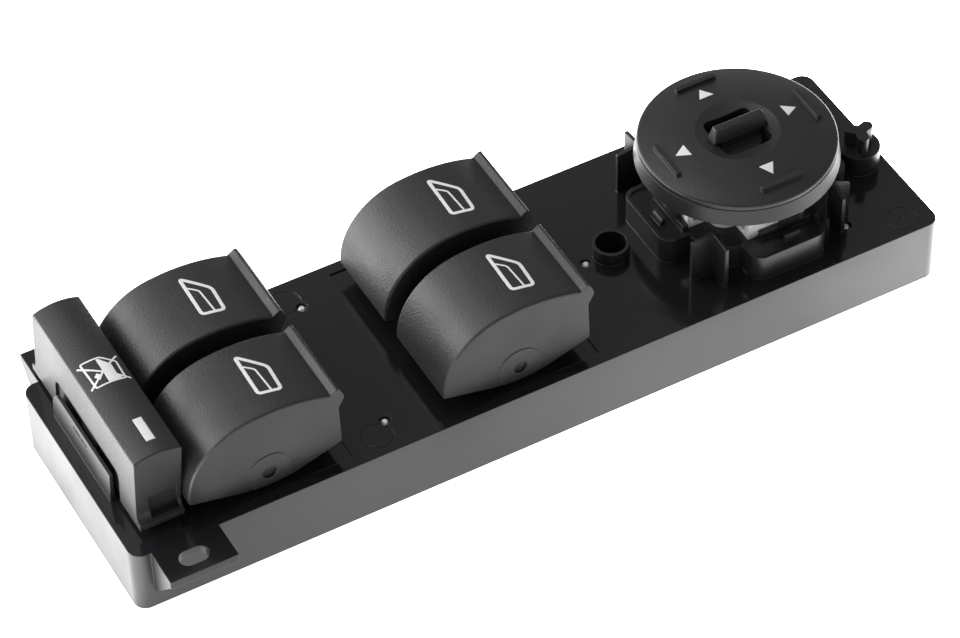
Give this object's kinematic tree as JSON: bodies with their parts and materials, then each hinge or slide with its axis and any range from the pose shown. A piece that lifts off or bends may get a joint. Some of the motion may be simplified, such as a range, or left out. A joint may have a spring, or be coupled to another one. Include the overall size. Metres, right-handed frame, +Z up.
{
  "type": "power window switch",
  "caption": "Driver's door switch with rocking window keys, a window lock button and a tilting round mirror control on a long box housing with fixing tabs.",
  "frame": {"origin": "centre of the bounding box at the level of the housing's lower edge", "axes": "+X along the housing to the mirror control, +Y to the left seen from the keys' rear, +Z up out of the top plate"},
  "size_m": [0.205, 0.0768, 0.0432],
  "materials": {
    "housing_black": "moulded, glossy top plate",
    "key_black": "fine moulded grain",
    "cover_black": "moulded",
    "screw_steel": "zinc plated",
    "board_green": "solder mask",
    "chip_black": "moulded",
    "pin_brass": "tinned brass",
    "lamp_white": "lamp body",
    "spring_steel": "spring wire",
    "carrier_white": "natural acetal",
    "guide_clear": "milky light guide",
    "contact_rubber": "silicone rubber",
    "plunger_white": "natural acetal"
  },
  "bodies": {
    "housing_group": {"housing": "housing_black", "bottom_cover": "cover_black", "cover_screws": "screw_steel", "circuit_board": "board_green", "connector_socket": "cover_black", "connector_pins": "pin_brass", "board_lamps": "lamp_white", "control_chip": "chip_black", "lock_spring": "spring_steel", "lock_switch": "chip_black", "mirror_carrier": "carrier_white", "mirror_contact_pad": "contact_rubber", "contact_pad_front_left": "contact_rubber", "contact_pad_front_right": "contact_rubber", "contact_pad_rear_left": "contact_rubber", "contact_pad_rear_right": "contact_rubber"},
    "key_front_left": {"window_key_front_left": "key_black"},
    "plunger_front_left_down": {"plunger_front_left_down": "plunger_white"},
    "plunger_front_left_up": {"plunger_front_left_up": "plunger_white"},
    "key_front_right": {"window_key_front_right": "key_black"},
    "plunger_front_right_down": {"plunger_front_right_down": "plunger_white"},
    "plunger_front_right_up": {"plunger_front_right_up": "plunger_white"},
    "key_rear_left": {"window_key_rear_left": "key_black"},
    "plunger_rear_left_down": {"plunger_rear_left_down": "plunger_white"},
    "plunger_rear_left_up": {"plunger_rear_left_up": "plunger_white"},
    "key_rear_right": {"window_key_rear_right": "key_black"},
    "plunger_rear_right_down": {"plunger_rear_right_down": "plunger_white"},
    "plunger_rear_right_up": {"plunger_rear_right_up": "plunger_white"},
    "lock": {"lock_button": "key_black", "lock_light_guide": "guide_clear"},
    "lock_switch_button": {"lock_actuator": "plunger_white"},
    "gimbal": {"gimbal_ring": "plunger_white"},
    "pad": {"mirror_pad": "key_black"},
    "knob": {"selector_knob": "key_black"},
    "mirror_plunger_front": {"mirror_plunger_front": "plunger_white"},
    "mirror_plunger_rear": {"mirror_plunger_rear": "plunger_white"},
    "mirror_plunger_left": {"mirror_plunger_left": "plunger_white"},
    "mirror_plunger_right": {"mirror_plunger_right": "plunger_white"}
  },
  "joints": [
    {"name": "key_front_left_rock", "type": "hinge", "parent": "housing_group", "child": "key_front_left", "pos_m": [-0.0057, 0.01355, 0.0219], "axis": [0, 1, 0], "range_deg": [-7, 7], "stiffness_Nm_per_rad": 0.2},
    {"name": "plunger_front_left_down_slide", "type": "slide", "parent": "housing_group", "child": "plunger_front_left_down", "axis": [0, 0, 1], "range_m": [-0.0011, 0.0011]},
    {"name": "plunger_front_left_up_slide", "type": "slide", "parent": "housing_group", "child": "plunger_front_left_up", "axis": [0, 0, 1], "range_m": [-0.0011, 0.0011]},
    {"name": "key_front_right_rock", "type": "hinge", "parent": "housing_group", "child": "key_front_right", "pos_m": [-0.0057, -0.01355, 0.0219], "axis": [0, 1, 0], "range_deg": [-7, 7], "stiffness_Nm_per_rad": 0.2},
    {"name": "plunger_front_right_down_slide", "type": "slide", "parent": "housing_group", "child": "plunger_front_right_down", "axis": [0, 0, 1], "range_m": [-0.0011, 0.0011]},
    {"name": "plunger_front_right_up_slide", "type": "slide", "parent": "housing_group", "child": "plunger_front_right_up", "axis": [0, 0, 1], "range_m": [-0.0011, 0.0011]},
    {"name": "key_rear_left_rock", "type": "hinge", "parent": "housing_group", "child": "key_rear_left", "pos_m": [-0.0676, 0.01355, 0.0219], "axis": [0, 1, 0], "range_deg": [-7, 7], "stiffness_Nm_per_rad": 0.2},
    {"name": "plunger_rear_left_down_slide", "type": "slide", "parent": "housing_group", "child": "plunger_rear_left_down", "axis": [0, 0, 1], "range_m": [-0.0011, 0.0011]},
    {"name": "plunger_rear_left_up_slide", "type": "slide", "parent": "housing_group", "child": "plunger_rear_left_up", "axis": [0, 0, 1], "range_m": [-0.0011, 0.0011]},
    {"name": "key_rear_right_rock", "type": "hinge", "parent": "housing_group", "child": "key_rear_right", "pos_m": [-0.0676, -0.01355, 0.0219], "axis": [0, 1, 0], "range_deg": [-7, 7], "stiffness_Nm_per_rad": 0.2},
    {"name": "plunger_rear_right_down_slide", "type": "slide", "parent": "housing_group", "child": "plunger_rear_right_down", "axis": [0, 0, 1], "range_m": [-0.0011, 0.0011]},
    {"name": "plunger_rear_right_up_slide", "type": "slide", "parent": "housing_group", "child": "plunger_rear_right_up", "axis": [0, 0, 1], "range_m": [-0.0011, 0.0011]},
    {"name": "lock_press", "type": "slide", "parent": "housing_group", "child": "lock", "axis": [0, 0, 1], "range_m": [-0.0012, 0], "stiffness_N_per_m": 400, "springref_m": 0.001, "deforming": ["lock_spring"]},
    {"name": "lock_actuator_slide", "type": "slide", "parent": "housing_group", "child": "lock_switch_button", "axis": [0, 0, 1], "range_m": [-0.0012, 0]},
    {"name": "mirror_tilt_side", "type": "hinge", "parent": "housing_group", "child": "gimbal", "pos_m": [0.0649, 0, 0.032], "axis": [1, 0, 0], "range_deg": [-5, 5], "stiffness_Nm_per_rad": 0.15},
    {"name": "mirror_tilt_front", "type": "hinge", "parent": "gimbal", "child": "pad", "pos_m": [0.0649, 0, 0.032], "axis": [0, 1, 0], "range_deg": [-5, 5], "stiffness_Nm_per_rad": 0.15},
    {"name": "selector_turn", "type": "hinge", "parent": "pad", "child": "knob", "pos_m": [0.0649, 0, 0.032], "axis": [0, 0, 1], "range_deg": [-45, 45]},
    {"name": "mirror_plunger_front_slide", "type": "slide", "parent": "housing_group", "child": "mirror_plunger_front", "axis": [0, 0, 1], "range_m": [-0.00115, 0.00115]},
    {"name": "mirror_plunger_rear_slide", "type": "slide", "parent": "housing_group", "child": "mirror_plunger_rear", "axis": [0, 0, 1], "range_m": [-0.00115, 0.00115]},
    {"name": "mirror_plunger_left_slide", "type": "slide", "parent": "housing_group", "child": "mirror_plunger_left", "axis": [0, 0, 1], "range_m": [-0.00115, 0.00115]},
    {"name": "mirror_plunger_right_slide", "type": "slide", "parent": "housing_group", "child": "mirror_plunger_right", "axis": [0, 0, 1], "range_m": [-0.00115, 0.00115]}
  ],
  "couplings": [
    {"joint": "plunger_front_left_down_slide", "follows": "key_front_left_rock", "m_per_rad": -0.009},
    {"joint": "plunger_front_left_up_slide", "follows": "key_front_left_rock", "m_per_rad": 0.009},
    {"joint": "plunger_front_right_down_slide", "follows": "key_front_right_rock", "m_per_rad": -0.009},
    {"joint": "plunger_front_right_up_slide", "follows": "key_front_right_rock", "m_per_rad": 0.009},
    {"joint": "plunger_rear_left_down_slide", "follows": "key_rear_left_rock", "m_per_rad": -0.009},
    {"joint": "plunger_rear_left_up_slide", "follows": "key_rear_left_rock", "m_per_rad": 0.009},
    {"joint": "plunger_rear_right_down_slide", "follows": "key_rear_right_rock", "m_per_rad": -0.009},
    {"joint": "plunger_rear_right_up_slide", "follows": "key_rear_right_rock", "m_per_rad": 0.009},
    {"joint": "lock_actuator_slide", "follows": "lock_press", "ratio": 1},
    {"joint": "mirror_plunger_front_slide", "follows": "mirror_tilt_front", "m_per_rad": -0.013},
    {"joint": "mirror_plunger_rear_slide", "follows": "mirror_tilt_front", "m_per_rad": 0.013},
    {"joint": "mirror_plunger_left_slide", "follows": "mirror_tilt_side", "m_per_rad": 0.013},
    {"joint": "mirror_plunger_right_slide", "follows": "mirror_tilt_side", "m_per_rad": -0.013}
  ]
}
